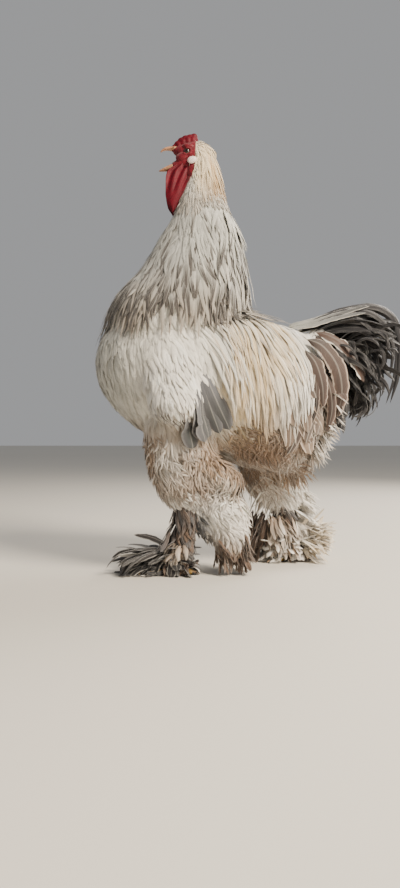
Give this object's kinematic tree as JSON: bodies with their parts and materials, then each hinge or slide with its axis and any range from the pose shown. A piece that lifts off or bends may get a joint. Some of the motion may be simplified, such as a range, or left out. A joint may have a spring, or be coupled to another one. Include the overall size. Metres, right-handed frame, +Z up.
{
  "type": "brahma rooster figure",
  "caption": "Light Brahma rooster standing and crowing: long hackle, full saddle, short curved black tail, pea comb, red wattles, heavily feathered legs and feet.",
  "frame": {"origin": "on the floor under the middle of the figure's bounding box", "axes": "+Z up; the rooster faces -X, so its left side faces -Y"},
  "size_m": [0.5144, 0.274, 0.7303],
  "materials": {
    "skin": "bare red skin, fine bumps, a little waxy",
    "lobe": "pale bare skin",
    "horn": "keratin, worn smooth",
    "eye": "wet and clear over a dark pupil",
    "white_feather": "soft white feathers, black down their middles on the neck",
    "grey_feather": "flight feathers, white outside and grey inside",
    "cream_feather": "long silky cream feathers",
    "black_feather": "black feathers with a slight green sheen",
    "fluff": "downy fluff",
    "foot_feather": "black feathers edged in white"
  },
  "bodies": {
    "root": {"head": "skin", "comb": "skin", "wattle_left": "skin", "wattle_right": "skin", "tongue": "skin", "earlobe_left": "lobe", "earlobe_right": "lobe", "beak_upper": "horn", "beak_lower": "horn", "eye_left": "eye", "eye_right": "eye", "neck": "white_feather", "torso": "white_feather", "wing_left": "grey_feather", "wing_right": "grey_feather", "saddle": "cream_feather", "tail": "black_feather", "thigh_left": "fluff", "thigh_right": "fluff", "shank_left": "white_feather", "shank_right": "white_feather", "foot_left": "foot_feather", "foot_right": "foot_feather", "claw_left_inner": "horn", "claw_left_middle": "horn", "claw_left_outer": "horn", "claw_left_hind": "horn", "claw_right_inner": "horn", "claw_right_middle": "horn", "claw_right_outer": "horn", "claw_right_hind": "horn"}
  },
  "joints": []
}
